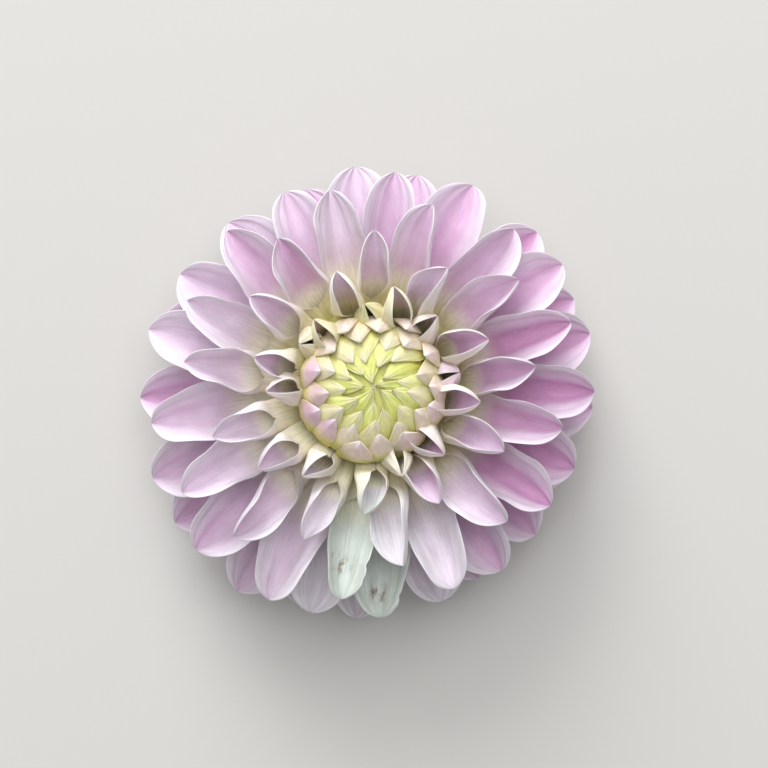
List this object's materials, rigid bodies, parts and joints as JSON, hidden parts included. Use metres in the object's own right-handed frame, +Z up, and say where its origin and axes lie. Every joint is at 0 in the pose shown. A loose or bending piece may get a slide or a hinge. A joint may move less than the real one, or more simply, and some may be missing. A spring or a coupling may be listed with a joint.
{
  "type": "dahlia flower",
  "caption": "Cut dahlia bloom lying face up: rolled and cupped ray florets in a spiral round a dome of unopened florets, on papery and leafy bracts.",
  "frame": {"origin": "middle of the flower's bounding box, on the surface that it lies on", "axes": "+Z up out of the face of the bloom, +Y towards the picture's top, +X towards its right"},
  "size_m": [0.1002, 0.0996, 0.037],
  "materials": {
    "petal_lavender": "soft satin petal, lavender pink with pale margins",
    "bud_yellow_green": "soft satin petal, cream to yellow green",
    "bract_papery": "thin, papery and slightly glossy",
    "stem_green": "matte green leaf and stem skin, pale cut face"
  },
  "bodies": {
    "root": {"ray_florets": "petal_lavender", "centre_florets": "bud_yellow_green", "inner_bracts": "bract_papery", "stem_and_bracts": "stem_green"}
  },
  "joints": []
}
